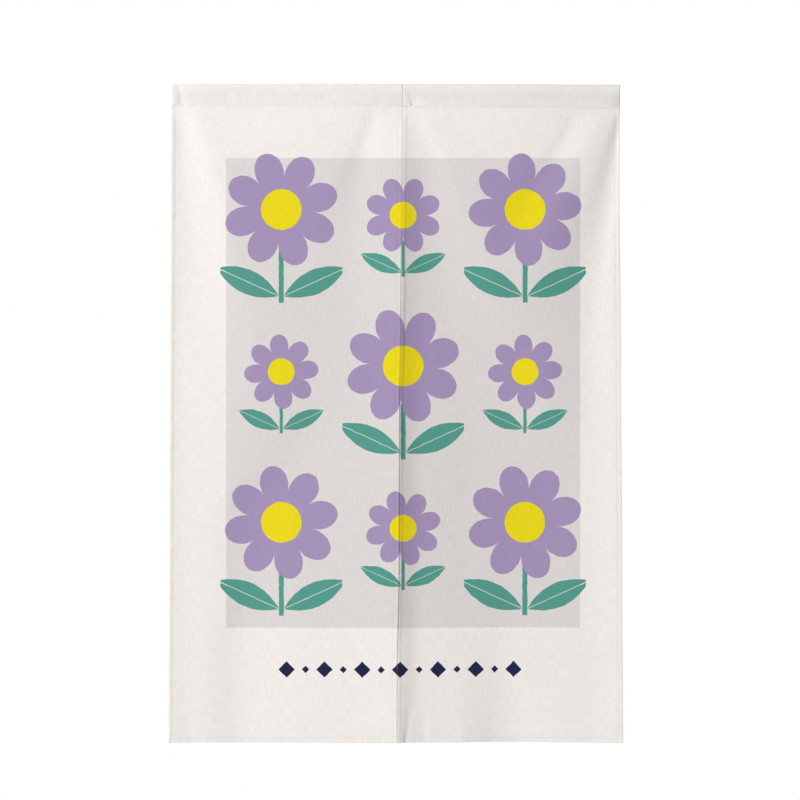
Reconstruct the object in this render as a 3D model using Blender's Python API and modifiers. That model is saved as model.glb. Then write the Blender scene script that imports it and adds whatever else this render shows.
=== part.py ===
"""Split door curtain: two hemmed panels hanging side by side, each below a flat rod pocket.

Metres, +Z up. The front of the cloth faces -Y. The origin is the middle of the pockets' top edge.
"""
import math

import bpy
import bmesh

MM = 0.001
OBJECT_NAME = "partition_curtain"

# All the sizes below are in millimetres.

# Outline
DROP = 1200
HALF_WIDTH_TOP = 408.5
HALF_WIDTH_BOTTOM = 413.8
POCKET_DROP_LEFT = 39.2
POCKET_DROP_RIGHT = 45.6
POCKET_DROP_POWER = 3
PIECE_GAP = 0.3

# Cloth
CLOTH = 1.1
HEM_CLOTH = 2.2
SIDE_HEM = 8
BOTTOM_HEM = 9
HEM_STEP = 1.4
MAIN_COLUMNS = 18
MAIN_ROWS = 32
COLUMN_CROWDING = 0.45
ROW_CROWDING = 0.3
EDGE_ROUNDS = 3

# The rod pocket: an oval sleeve, open at both ends
POCKET_DEPTH = 15
POCKET_CLOTH = 1.2
POCKET_POINTS = 20
POCKET_COLUMNS = 14
POCKET_SAG = 0.7
POCKET_WAVE = 0.8
POCKET_WAVE_LENGTH = 310

# Below the pocket's seam the folds grow to their full height, and the cloth swells forward
FOLD_START = 26
SWELL = 2.4
SWELL_DROP = 70

CREAM = (0.86, 0.83, 0.79, 1.0)
CREAM_SHADED = (0.80, 0.77, 0.735, 1.0)
CLOTH_ROUGHNESS = 0.92

# The line where the panels meet
# down, across
MEETING_LINE = (
    (0, 12.8),
    (255, 10.4),
    (470, 8.4),
    (770, 6.7),
    (940, 4.9),
    (1030, 2.9),
    (DROP, 2.2),
)

# The slit. The panels are sewn together above it.
# down, width
SLIT = (
    (0, PIECE_GAP),
    (550, PIECE_GAP),
    (600, 3.2),
    (800, 3.4),
    (1000, 3.2),
    (1045, PIECE_GAP),
    (DROP, PIECE_GAP),
)

# The columns of the tables of stations. "Across" is right of the curtain's middle, and a ridge is above nought.
DOWN, ACROSS, HALF_LEFT, HALF_RIGHT, HEIGHT = range(5)
WIDTH = 1

# Each fold runs down the cloth through its stations
# down, across, half width on its left, half width on its right, height
FOLDS = {
    "left edge": (
        (40, -409, 12, 12, 0.0),
        (110, -409, 12, 12, 1.5),
        (700, -412, 14, 18, 2.0),
        (DROP, -414, 16, 28, 3.4),
    ),
    "left corner valley": (
        (36, -394, 8, 12, -1.0),
        (120, -384, 12, 24, -1.6),
        (300, -366, 22, 44, -1.6),
        (480, -358, 30, 50, 0.0),
    ),
    "left corner ridge": (
        (36, -374, 10, 30, 1.4),
        (130, -336, 28, 50, 3.2),
        (300, -290, 44, 90, 4.6),
        (480, -252, 52, 110, 3.6),
        (700, -230, 60, 110, 0.0),
    ),
    "left trough": (
        (540, -150, 80, 90, 0.0),
        (640, -170, 60, 80, -3.0),
        (710, -205, 54, 80, -3.6),
        (790, -268, 44, 70, -4.6),
        (1000, -276, 42, 54, -5.4),
        (DROP, -286, 42, 54, -5.8),
    ),
    "crease left of the meeting line": (
        (40, -36, 12, 12, -1.2),
        (120, -58, 22, 24, -2.4),
        (220, -80, 34, 40, -3.6),
        (320, -84, 44, 54, -2.8),
        (520, -76, 54, 64, 0.0),
    ),
    "meeting line": (
        (20, 12.5, 40, 16, 1.0),
        (100, 12.0, 48, 17, 2.8),
        (200, 11.0, 56, 20, 5.8),
        (300, 10.0, 64, 22, 7.6),
        (560, 8.0, 74, 24, 8.8),
        (DROP, 3.0, 74, 24, 8.4),
    ),
    "hollow right of the meeting line": (
        (60, 60, 30, 60, 0.0),
        (150, 62, 32, 90, -2.6),
        (300, 80, 40, 110, -4.2),
        (700, 90, 46, 130, -5.0),
        (DROP, 84, 40, 120, -4.2),
    ),
    "ridge right of the hollow": (
        (36, 44, 12, 30, 0.8),
        (135, 98, 26, 50, 2.8),
        (240, 128, 38, 60, 3.6),
        (330, 178, 50, 70, 3.6),
        (480, 190, 60, 80, 0.0),
    ),
    "right diagonal trough": (
        (44, 330, 12, 12, -1.0),
        (110, 302, 20, 22, -1.8),
        (190, 250, 28, 34, -1.8),
        (320, 210, 34, 40, 0.0),
    ),
    "right corner ridge": (
        (40, 378, 12, 12, 0.8),
        (110, 352, 26, 22, 2.2),
        (175, 322, 38, 34, 3.4),
        (250, 292, 46, 44, 3.6),
        (330, 264, 56, 54, 3.0),
        (480, 244, 60, 60, 0.0),
    ),
    "right edge trough": (
        (44, 410, 10, 5, -1.6),
        (111, 406, 18, 8, -4.2),
        (175, 395, 27, 12, -5.4),
        (250, 380, 36, 16, -5.4),
        (330, 367, 42, 22, -4.0),
        (470, 352, 48, 32, -2.2),
        (660, 345, 60, 40, 0.0),
    ),
    "right bulge": (
        (440, 255, 50, 50, 0.0),
        (548, 275, 44, 60, 3.0),
        (690, 280, 50, 60, 0.0),
    ),
    "right hollow": (
        (520, 250, 100, 90, 0.0),
        (720, 245, 110, 90, -3.4),
        (DROP, 250, 110, 90, -4.0),
    ),
    "right lower trough": (
        (930, 184, 40, 24, 0.0),
        (1080, 186, 36, 20, -3.0),
        (DROP, 192, 36, 18, -5.0),
    ),
    "right lower ridge": (
        (990, 125, 30, 24, 0.0),
        (DROP, 118, 24, 22, 2.6),
    ),
    "right edge": (
        (250, 414, 36, 20, 0.0),
        (400, 418, 44, 20, 5.0),
        (560, 420, 44, 20, 7.6),
        (DROP, 422, 44, 20, 7.6),
    ),
}


def clear_scene():
    """Removes whatever the file holds."""
    for old in list(bpy.data.objects):
        bpy.data.objects.remove(old, do_unlink=True)


def soft(amount):
    """Nought to one with a gentle start and end."""
    amount = min(max(amount, 0.0), 1.0)
    return amount * amount * (3.0 - 2.0 * amount)


def slope_at(stations, index, column):
    """How fast a column changes at a station. At a crest or a dip it is level, so nothing swings past it."""
    before = stations[max(index - 1, 0)]
    here = stations[index]
    after = stations[min(index + 1, len(stations) - 1)]
    if before is not here and after is not here:
        if (here[column] - before[column]) * (after[column] - here[column]) <= 0.0:
            return 0.0
    return (after[column] - before[column]) / (after[DOWN] - before[DOWN])


def along(stations, down, column):
    """A column of a table of stations at any distance down, as a smooth curve through them."""
    if down <= stations[0][DOWN]:
        return stations[0][column]
    for index in range(len(stations) - 1):
        upper, lower = stations[index], stations[index + 1]
        if down <= lower[DOWN]:
            span = lower[DOWN] - upper[DOWN]
            part = (down - upper[DOWN]) / span
            eased = soft(part)
            leave = slope_at(stations, index, column) * span * part * (1.0 - part) ** 2
            arrive = slope_at(stations, index + 1, column) * span * part * part * (1.0 - part)
            return upper[column] + (lower[column] - upper[column]) * eased + leave - arrive
    return stations[-1][column]


def pocket_sway(across):
    """How far back the middle of the rod pocket lies, in one slow wave after another."""
    return POCKET_WAVE * math.sin(2.0 * math.pi * across / POCKET_WAVE_LENGTH)


def pocket_drop(across):
    """How far down the pocket's seam lies. It dips towards the right end."""
    part = (across + HALF_WIDTH_TOP) / (2.0 * HALF_WIDTH_TOP)
    part = min(max(part, 0.0), 1.0)
    return POCKET_DROP_LEFT + (POCKET_DROP_RIGHT - POCKET_DROP_LEFT) * part ** POCKET_DROP_POWER


def half_width(down):
    """Half the curtain's width, which grows a little to the foot."""
    return HALF_WIDTH_TOP + (HALF_WIDTH_BOTTOM - HALF_WIDTH_TOP) * down / DROP


def fold_height(across, down):
    """How far the cloth's face stands towards the viewer."""
    height = 0.0
    for stations in FOLDS.values():
        offset = across - along(stations, down, ACROSS)
        half = along(stations, down, HALF_LEFT if offset < 0 else HALF_RIGHT)
        height += along(stations, down, HEIGHT) * math.exp(-(offset / half) ** 2)
    below = down - pocket_drop(across)
    hanging = soft(below / SWELL_DROP)
    under_pocket = CLOTH / 2.0 - pocket_sway(across)
    return height * soft(below / FOLD_START) + SWELL * hanging + under_pocket * (1.0 - hanging)


def crowded(count, crowding):
    """Steps from nought to one, closer together at both ends."""
    steps = []
    for index in range(count + 1):
        part = index / count
        steps.append(part - crowding * math.sin(2.0 * math.pi * part) / (2.0 * math.pi))
    return steps


def make_material(name, colour):
    material = bpy.data.materials.new(name)
    material.use_nodes = True
    shader = material.node_tree.nodes["Principled BSDF"]
    shader.inputs["Base Color"].default_value = colour
    shader.inputs["Roughness"].default_value = CLOTH_ROUGHNESS
    shader.inputs["Metallic"].default_value = 0.0
    return material


def place_object(name, builder, material, collection):
    """Makes a finished mesh an object of the curtain's collection."""
    mesh = bpy.data.meshes.new(name)
    builder.to_mesh(mesh)
    builder.free()
    mesh.materials.append(material)
    mesh.shade_smooth()
    thing = bpy.data.objects.new(name, mesh)
    collection.objects.link(thing)
    return thing


def panel_columns():
    """Where the grid's columns lie, as shares of a hem's width or of the plain cloth's width."""
    main = [("main", part) for part in crowded(MAIN_COLUMNS, COLUMN_CROWDING)]
    return [("hem left", 0.0), ("hem left", 1.0)] + main + [("hem right", 1.0), ("hem right", 0.0)]


def panel_rows():
    """Where the grid's rows lie from the bottom up, as shares of the hem's or the plain cloth's drop."""
    main = [("main", 1.0 - part) for part in crowded(MAIN_ROWS, ROW_CROWDING)]
    return [("hem", 0.0), ("hem", 1.0)] + main


def column_across(column, left, right):
    """Where a column lies between the panel's two edges."""
    kind, part = column
    if kind == "hem left":
        return left + SIDE_HEM * part
    if kind == "hem right":
        return right - SIDE_HEM * part
    start = left + SIDE_HEM + HEM_STEP
    end = right - SIDE_HEM - HEM_STEP
    return start + (end - start) * part


def panel_edges(side, down):
    """The panel's left and right edges at a distance down."""
    meeting = along(MEETING_LINE, down, ACROSS)
    if side == "left":
        return -half_width(down), meeting
    return meeting + along(SLIT, down, WIDTH), half_width(down)


def row_down(row, across):
    """Where a row lies between the pocket's seam and the bottom edge."""
    kind, part = row
    if kind == "hem":
        return DROP - BOTTOM_HEM * part
    start = pocket_drop(across) + PIECE_GAP
    end = DROP - BOTTOM_HEM - HEM_STEP
    return start + (end - start) * part


def make_panel(side, material, collection):
    """One length of cloth, thicker at its side and bottom hems, which are turned to the back."""
    columns = panel_columns()
    rows = panel_rows()
    builder = bmesh.new()
    bmesh.ops.create_grid(builder, x_segments=len(columns) - 1, y_segments=len(rows) - 1, size=0.5)
    thickness = builder.verts.layers.float.new("thickness")
    for vert in builder.verts:
        column = columns[round((vert.co.x + 0.5) * (len(columns) - 1))]
        row = rows[round((vert.co.y + 0.5) * (len(rows) - 1))]
        across = 0.0
        for _ in range(EDGE_ROUNDS):
            down = row_down(row, across)
            across = column_across(column, *panel_edges(side, down))
        vert.co = (across * MM, -fold_height(across, down) * MM, -down * MM)
        vert[thickness] = CLOTH if column[0] == "main" and row[0] == "main" else HEM_CLOTH
    made = bmesh.ops.extrude_face_region(builder, geom=builder.faces[:], use_keep_orig=True)["geom"]
    for item in made:
        if isinstance(item, bmesh.types.BMVert):
            item.co.y += item[thickness] * MM
    builder.verts.layers.float.remove(thickness)
    bmesh.ops.recalc_face_normals(builder, faces=builder.faces)
    return place_object("panel_" + side, builder, material, collection)


def make_heading(side, material, collection):
    """One rod pocket: an oval sleeve whose ends are open."""
    left, right = panel_edges(side, 0.0)
    builder = bmesh.new()
    ring = bmesh.ops.create_circle(builder, cap_ends=False, radius=1.0, segments=POCKET_POINTS)["verts"]
    loop = [edge for edge in builder.edges]
    rings = [ring]
    for _ in range(POCKET_COLUMNS):
        made = bmesh.ops.extrude_edge_only(builder, edges=loop)["geom"]
        rings.append([item for item in made if isinstance(item, bmesh.types.BMVert)])
        loop = [item for item in made if isinstance(item, bmesh.types.BMEdge) and len(item.link_faces) < 2]
        loop = [edge for edge in loop if all(vert in rings[-1] for vert in edge.verts)]
    for index, verts in enumerate(rings):
        across = left + (right - left) * index / POCKET_COLUMNS
        drop = pocket_drop(across)
        sway = pocket_sway(across)
        sag = POCKET_SAG * soft(across / HALF_WIDTH_TOP)
        for vert in verts:
            turn_across, turn_up = vert.co.x, vert.co.y
            height = -(drop - sag) * (1.0 - turn_up) / 2.0 - sag
            vert.co = (across * MM, (turn_across * POCKET_DEPTH / 2.0 + sway) * MM, height * MM)
    bmesh.ops.recalc_face_normals(builder, faces=builder.faces)
    thing = place_object("heading_" + side, builder, material, collection)
    wall = thing.modifiers.new("pocket wall", "SOLIDIFY")
    wall.thickness = POCKET_CLOTH * MM
    wall.offset = -1.0
    wall.use_even_offset = True
    return thing


clear_scene()
curtain = bpy.data.collections.new(OBJECT_NAME)
bpy.context.scene.collection.children.link(curtain)
panel_material = make_material("panel_cloth", CREAM)
heading_material = make_material("heading_cloth", CREAM_SHADED)
for panel_side in ("left", "right"):
    make_panel(panel_side, panel_material, curtain)
    make_heading(panel_side, heading_material, curtain)
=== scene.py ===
"""Looks of the split door curtain: two printed linen panels below stitched rod pockets.

Sizes are in millimetres, counted right of the curtain's middle and down from its top edge, and become
metres at the end. The front of the cloth faces -Y.
"""

import math

import bmesh
import bpy
import numpy as np
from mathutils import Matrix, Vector


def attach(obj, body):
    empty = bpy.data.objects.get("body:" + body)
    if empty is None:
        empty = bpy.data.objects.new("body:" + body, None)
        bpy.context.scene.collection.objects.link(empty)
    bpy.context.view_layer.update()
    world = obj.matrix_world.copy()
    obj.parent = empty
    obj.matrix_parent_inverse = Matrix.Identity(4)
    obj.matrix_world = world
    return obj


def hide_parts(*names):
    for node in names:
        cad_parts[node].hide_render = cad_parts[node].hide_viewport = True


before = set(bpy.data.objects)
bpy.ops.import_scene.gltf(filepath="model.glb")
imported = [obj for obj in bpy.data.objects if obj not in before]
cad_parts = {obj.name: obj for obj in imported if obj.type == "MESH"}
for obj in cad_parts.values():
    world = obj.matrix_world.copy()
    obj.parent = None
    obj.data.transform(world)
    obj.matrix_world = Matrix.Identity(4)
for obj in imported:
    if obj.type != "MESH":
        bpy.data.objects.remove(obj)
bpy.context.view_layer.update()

MM = 0.001

# The cloth's outline
DROP = 1200
HALF_WIDTH_TOP = 408.5
HALF_WIDTH_BOTTOM = 413.8
POCKET_DROP_LEFT = 39.2
POCKET_DROP_RIGHT = 45.6
POCKET_DROP_POWER = 3
POCKET_DEPTH = 15
POCKET_CLOTH = 0.9
POCKET_SAG = 1.4
POCKET_WAVE = 0.8
POCKET_WAVE_LENGTH = 310
TOP_GAP = 0.1

# Cloth and hems
CLOTH = 0.8
HEM_CLOTH = 1.7
SIDE_HEM = 9.4
HEM_STEP = 0.7
EDGE_ROUND = 0.6
EDGE_THINNING = 0.93
EDGE_ROLLS = {
    # panel: how far its left and its right edge curl forward
    "left": (0.75, 0.12),
    "right": (0.0, 0.12),
}
FOOT_ROLL = -0.12
CORNER_BLEND = 4.0
ROLL_START = 1.4
ROLL_WIDTH = 6.6
STITCH_INSET = 8.2
STITCH_SINK = 0.25
STITCH_SINK_WIDTH = 0.9
STITCH_SINK_START = 6.0
SLIT_STITCH_SHARE = 0.25
SLIT_HEM = 12.4
SLIT_HEM_STEP = 0.16
SLIT_HEM_RAMP = 1.2
SLIT_HEM_FADE = 90

# How the cloth hangs
FOLD_START = 26
SWELL = 2.4
SWELL_DROP = 70

MEETING_LINE = (
    # down, across
    (0, 12.8),
    (255, 10.4),
    (470, 8.3),
    (560, 6.9),
    (640, 6.4),
    (860, 5.9),
    (940, 5.0),
    (1030, 2.9),
    (DROP, 2.2),
)

RIGHT_EDGE = (
    # down, across
    (0, 408.4),
    (60, 408.2),
    (211, 407.6),
    (394, 409.2),
    (576, 410.0),
    (758, 411.3),
    (940, 411.9),
    (1123, 413.4),
    (DROP, 413.8),
)

# How far the right panel reaches behind the left one. Above and below the open slit they are sewn
# edge to edge
OVERLAP = (
    # down, overlap
    (0, -0.08),
    (520, -0.08),
    (590, 1.3),
    (970, 1.3),
    (1040, -0.08),
    (DROP, -0.08),
)
POCKET_GAP = 0.05

# The soft dent beside the meeting line where the panels are sewn together
SEAM_DENT = (
    # right of the meeting line, height
    (0.0, 0.0),
    (4.0, 0.0),
    (6.0, -0.16),
    (9.0, -0.56),
    (11.0, -0.64),
    (14.0, -0.55),
    (24.0, 0.0),
)
SEAM_DENT_DEPTH = (
    # down, share of the dent
    (40, 0.5),
    (120, 0.45),
    (250, 0.5),
    (340, 0.9),
    (430, 1.3),
    (560, 0.0),
)
# How the right panel falls away behind the left one beside the open slit
SLIT_FALL = (
    # right of the meeting line, height
    (0.0, 0.0),
    (2.0, -0.3),
    (6.0, -1.1),
    (10.0, -1.5),
    (14.0, -1.5),
    (21.0, -1.4),
    (30.0, -1.2),
    (45.0, -0.9),
    (70.0, -0.4),
    (95.0, 0.0),
)
SLIT_FALL_DEPTH = (
    # down, share of the fall
    (380, 0.0),
    (480, 1.2),
    (580, 1.5),
    (950, 1.3),
    (1100, 1.0),
    (DROP, 1.0),
)
# The shadowed groove right at the slit's edge, where the right panel's hem is tucked in
SLIT_GROOVE = (
    # right of the meeting line, height
    (0.6, -1.1),
    (2.2, 0.0),
)
SLIT_GROOVE_DEPTH = (
    # down, share of the groove
    (530, 0.0),
    (590, 1.0),
    (960, 1.0),
    (1040, 0.6),
    (DROP, 0.5),
)

# The columns of these tables, and those of the folds below
PLACE, VALUE = range(2)
DOWN, ACROSS, HALF_LEFT, HALF_RIGHT, HEIGHT = range(5)
FOLDS = {
    "left edge": (
        (40, -409, 12, 12, 0.0),
        (110, -409, 12, 12, 1.5),
        (700, -412, 14, 18, 2.0),
        (DROP, -414, 16, 28, 3.4),
    ),
    "left corner valley": (
        (36, -394, 8, 14, -0.6),
        (120, -384, 13, 28, -1.1),
        (300, -366, 22, 44, -1.3),
        (480, -358, 30, 50, 0.0),
    ),
    "left corner ridge": (
        (36, -374, 10, 30, 1.4),
        (130, -336, 32, 50, 2.9),
        (300, -290, 44, 90, 4.6),
        (480, -252, 52, 110, 3.6),
        (700, -230, 60, 110, 0.0),
    ),
    "left trough": (
        (540, -150, 80, 90, 0.0),
        (640, -170, 60, 80, -3.0),
        (710, -205, 54, 80, -3.6),
        (790, -260, 52, 80, -5.0),
        (1000, -274, 50, 84, -6.4),
        (DROP, -284, 46, 90, -7.2),
    ),
    "crease left of the meeting line": (
        (40, -36, 12, 12, -1.2),
        (120, -58, 22, 24, -2.4),
        (220, -80, 34, 40, -3.6),
        (320, -84, 44, 54, -2.8),
        (520, -76, 54, 64, 0.0),
    ),
    "hollow right of the meeting line": (
        (60, 60, 30, 60, 0.0),
        (150, 62, 32, 90, -2.6),
        (300, 80, 40, 110, -4.2),
        (500, 120, 62, 160, -6.0),
        (700, 138, 78, 170, -6.6),
        (DROP, 134, 76, 160, -6.2),
    ),
    "ridge right of the hollow": (
        (36, 44, 12, 30, 0.8),
        (135, 98, 26, 50, 2.8),
        (240, 128, 38, 60, 3.6),
        (330, 178, 50, 70, 3.6),
        (480, 190, 60, 80, 0.0),
    ),
    "right diagonal trough": (
        (44, 330, 12, 12, -1.0),
        (110, 302, 20, 22, -1.8),
        (190, 250, 28, 34, -1.8),
        (320, 210, 34, 40, 0.0),
    ),
    "right corner ridge": (
        (40, 378, 12, 12, 0.8),
        (110, 352, 26, 22, 2.2),
        (175, 322, 38, 34, 3.4),
        (250, 292, 46, 44, 3.6),
        (330, 264, 56, 54, 3.0),
        (480, 244, 60, 60, 0.0),
    ),
    "right edge trough": (
        (44, 409, 9, 5, -2.0),
        (84, 405, 11, 9, -3.6),
        (115, 400, 15, 13, -4.5),
        (175, 391, 24, 20, -5.3),
        (250, 380, 36, 21, -5.4),
        (330, 367, 42, 27, -4.0),
        (470, 352, 48, 32, -2.2),
        (660, 345, 60, 40, 0.0),
    ),
    "right bulge": (
        (440, 255, 50, 50, 0.0),
        (548, 275, 44, 60, 3.0),
        (690, 280, 50, 60, 0.0),
    ),
    "right hollow": (
        (520, 250, 100, 90, 0.0),
        (720, 245, 110, 90, -3.4),
        (DROP, 250, 110, 90, -4.0),
    ),
    "right lower trough": (
        (930, 184, 40, 24, 0.0),
        (1080, 196, 42, 46, -3.2),
        (DROP, 212, 50, 50, -6.4),
    ),
    "right lower ridge": (
        (990, 125, 30, 24, 0.0),
        (DROP, 118, 24, 22, 2.6),
    ),
    "right edge": (
        (250, 414, 36, 20, 0.0),
        (400, 418, 44, 20, 5.0),
        (560, 420, 44, 20, 7.6),
        (DROP, 422, 44, 20, 7.6),
    ),
}
# Each panel climbs to the meeting line in its own way
LEFT_FOLDS = {
    "climb to the meeting line": (
        (20, 26, 40, 40, 1.2),
        (100, 32, 50, 40, 3.2),
        (200, 38, 60, 60, 6.4),
        (300, 56, 84, 60, 10.4),
        (560, 64, 100, 60, 13.0),
        (DROP, 60, 104, 60, 13.0),
    ),
}

RIGHT_FOLDS = {
    "fall from the meeting line": (
        (20, 10.5, 40, 16, 1.0),
        (100, 10.0, 48, 17, 2.5),
        (200, 9.0, 54, 20, 4.9),
        (300, 8.0, 60, 22, 7.1),
        (430, 7.0, 66, 23, 8.0),
        (530, 6.4, 70, 24, 8.6),
        (600, 5.6, 70, 24, 8.4),
        (980, 4.0, 70, 24, 8.4),
        (1060, 3.0, 70, 24, 8.8),
        (DROP, 1.0, 70, 24, 9.2),
    ),
    "first hem pucker": (
        (1125, 54, 8, 8, 0.0),
        (1165, 52, 8, 8, -0.8),
        (DROP, 51, 9, 8, -1.1),
    ),
    "second hem pucker": (
        (1135, 110, 9, 8, 0.0),
        (1170, 109, 9, 8, -0.6),
        (DROP, 108, 9, 8, -0.9),
    ),
    "third hem pucker": (
        (1110, 174, 12, 22, 0.0),
        (1160, 174, 11, 26, -0.7),
        (DROP, 174, 11, 30, -0.9),
    ),
    "corner fold by the slit": (
        (1130, 24, 5, 6, 0.0),
        (1155, 22, 3.6, 6, -1.0),
        (1180, 19, 3.2, 6, -1.8),
        (DROP, 17, 3.2, 6, -2.3),
    ),
}

WAVES = (
    # size of a wave across, size down, height, seed
    (150, 260, 1.0, 3),
    (60, 120, 0.35, 5),
    (24, 60, 0.10, 7),
)
WAVE_SHIFT = 500
HEM_WAVE = 26
HEM_WAVE_HEIGHT = 0.35
HEM_WAVE_REACH = 10.0
HEM_WAVE_SEED = 11
SEAM_PUCKER = 11
SEAM_PUCKER_LENGTH = 400
SEAM_PUCKER_HEIGHT = 0.22
SEAM_PUCKER_MIDDLE = 7.0
SEAM_PUCKER_REACH = 12
SEAM_PUCKER_SEED = 17
HILL_GRID = 97


def soft(amount):
    """Nought to one with a gentle start and end."""
    amount = np.clip(amount, 0.0, 1.0)
    return amount * amount * (3.0 - 2.0 * amount)


def along(stations, down, column):
    """One column of a table of stations at any place, as a smooth curve without overshoot."""
    downs = np.array([row[PLACE] for row in stations], float)
    values = np.array([row[column] for row in stations], float)
    spans = np.diff(downs)
    rises = np.diff(values)
    slopes = np.empty(len(values))
    slopes[0] = rises[0] / spans[0]
    slopes[-1] = rises[-1] / spans[-1]
    between = (values[2:] - values[:-2]) / (downs[2:] - downs[:-2])
    slopes[1:-1] = np.where(rises[1:] * rises[:-1] > 0.0, between, 0.0)
    index = np.clip(np.searchsorted(downs, down) - 1, 0, len(spans) - 1)
    span = spans[index]
    part = np.clip((down - downs[index]) / span, 0.0, 1.0)
    leave = slopes[index] * span * part * (1.0 - part) ** 2
    arrive = slopes[index + 1] * span * part**2 * (1.0 - part)
    return values[index] + rises[index] * soft(part) + leave - arrive


def waves(across, down, size_across, size_down, seed):
    """Smooth random hills between -1 and 1, the same each time."""
    hills = np.random.default_rng(seed).uniform(-1.0, 1.0, (HILL_GRID, HILL_GRID))
    column = (across / size_across) % (HILL_GRID - 1)
    row = (down / size_down) % (HILL_GRID - 1)
    i, j = column.astype(int), row.astype(int)
    a, b = soft(column - i), soft(row - j)
    upper = hills[j, i] * (1 - a) + hills[j, i + 1] * a
    lower = hills[j + 1, i] * (1 - a) + hills[j + 1, i + 1] * a
    return upper * (1 - b) + lower * b


def pocket_sway(across):
    """How far back the middle of the rod pocket lies."""
    return POCKET_WAVE * np.sin(2.0 * math.pi * across / POCKET_WAVE_LENGTH)


def pocket_drop(across):
    """How far down the pocket's seam lies. It dips towards the right end."""
    part = np.clip((across + HALF_WIDTH_TOP) / (2.0 * HALF_WIDTH_TOP), 0.0, 1.0)
    return POCKET_DROP_LEFT + (POCKET_DROP_RIGHT - POCKET_DROP_LEFT) * part**POCKET_DROP_POWER


def half_width(down):
    return HALF_WIDTH_TOP + (HALF_WIDTH_BOTTOM - HALF_WIDTH_TOP) * down / DROP


def panel_edges(side, down):
    """The panel's left and right edges at a distance down."""
    meeting = along(MEETING_LINE, down, ACROSS)
    if side == "left":
        return -half_width(down), meeting
    return meeting - along(OVERLAP, down, VALUE), along(RIGHT_EDGE, down, ACROSS)


def fold_sum(folds, across, down):
    """The heights of a table of folds, added up."""
    height = np.zeros_like(across)
    for stations in folds.values():
        offset = across - along(stations, down, ACROSS)
        half = np.where(offset < 0, along(stations, down, HALF_LEFT), along(stations, down, HALF_RIGHT))
        height += along(stations, down, HEIGHT) * np.exp(-((offset / half) ** 2))
    return height


def edge_inset(side, across, down):
    """How far a point lies from the nearest side edge or the foot."""
    left, right = panel_edges(side, down)
    return np.minimum(np.minimum(across - left, right - across), DROP - down)


def slit_relief(across, down):
    """How the right panel dips beside the seam and falls away behind the open slit."""
    from_line = across - along(MEETING_LINE, down, ACROSS)
    relief = along(SEAM_DENT, from_line, VALUE) * along(SEAM_DENT_DEPTH, down, VALUE)
    relief += along(SLIT_FALL, from_line, VALUE) * along(SLIT_FALL_DEPTH, down, VALUE)
    relief += along(SLIT_GROOVE, from_line, VALUE) * along(SLIT_GROOVE_DEPTH, down, VALUE)
    return relief


def edge_curl(side, across, down):
    """How far the hems curl forward along the edges."""
    left, right = panel_edges(side, down)
    side_inset = np.minimum(across - left, right - across)
    foot_inset = DROP - down
    left_roll, right_roll = EDGE_ROLLS[side]
    side_roll = np.where(across - left < right - across, left_roll, right_roll)
    roll = FOOT_ROLL + (side_roll - FOOT_ROLL) * soft((foot_inset - side_inset) / CORNER_BLEND + 0.5)
    inset = np.minimum(side_inset, foot_inset)
    return roll * (1.0 - soft((inset - ROLL_START) / ROLL_WIDTH))


def hem_waves(side, across, down):
    """The small waves that stitching draws into a hem."""
    hills = waves(across + WAVE_SHIFT, down, HEM_WAVE, HEM_WAVE, HEM_WAVE_SEED)
    near = np.exp(-((edge_inset(side, across, down) / HEM_WAVE_REACH) ** 2))
    return HEM_WAVE_HEIGHT * hills * near


def seam_puckers(across, down, below):
    """The short upright puckers under the pocket's seam."""
    hills = waves(across + WAVE_SHIFT, down, SEAM_PUCKER, SEAM_PUCKER_LENGTH, SEAM_PUCKER_SEED)
    near = np.exp(-((below - SEAM_PUCKER_MIDDLE) / SEAM_PUCKER_REACH) ** 2)
    return SEAM_PUCKER_HEIGHT * hills * near


def slit_hem(across, down, below):
    """The doubled cloth by the left panel's inner edge, which shows just below the pocket."""
    _, right = panel_edges("left", down)
    doubled = soft((across - right + SLIT_HEM) / SLIT_HEM_RAMP + 0.5)
    return SLIT_HEM_STEP * doubled * (1.0 - soft((below - SLIT_HEM_FADE) / SLIT_HEM_FADE))


def stitch_line(side, across, down):
    """One on a line of hem stitching and nought beside it. By the slit's left edge it hardly shows."""
    inset = edge_inset(side, across, down)
    line = np.exp(-(((inset - STITCH_INSET) / STITCH_SINK_WIDTH) ** 2))
    _, right = panel_edges(side, down)
    by_slit = (right - across < 2.0 * STITCH_INSET) & (DROP - down > right - across)
    return np.where(by_slit & (side == "left"), SLIT_STITCH_SHARE, 1.0) * line


def face_height(side, across, down):
    """How far the panel's front stands towards the viewer."""
    below = down - pocket_drop(across)
    hanging = soft(below / SWELL_DROP)
    free = soft(below / FOLD_START)
    under_pocket = CLOTH / 2.0 - pocket_sway(across)
    own_folds = LEFT_FOLDS if side == "left" else RIGHT_FOLDS
    folds = fold_sum(FOLDS, across, down) + fold_sum(own_folds, across, down)
    if side == "right":
        folds = folds + slit_relief(across, down)
    height = folds * free + SWELL * hanging + under_pocket * (1.0 - hanging)
    for size_across, size_down, wave_height, seed in WAVES:
        height += wave_height * waves(across + WAVE_SHIFT, down, size_across, size_down, seed) * hanging
    height += (edge_curl(side, across, down) + hem_waves(side, across, down)) * free
    height += seam_puckers(across, down, below)
    if side == "left":
        height += slit_hem(across, down, below)
    return height - STITCH_SINK * stitch_line(side, across, down) * soft(below / STITCH_SINK_START)


# The panel's grid has its lines close together over the hems
HEM_LINES = (0.0, 0.25, 0.8, 1.8, 3.0, 4.2, 5.6, 6.8, 7.6, 8.2, 8.8, 9.4, 9.8, 10.3, 11.6)
AFTER_HEM = 2.5
STEPS_ACROSS = 96
STEPS_DOWN = 300


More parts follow.
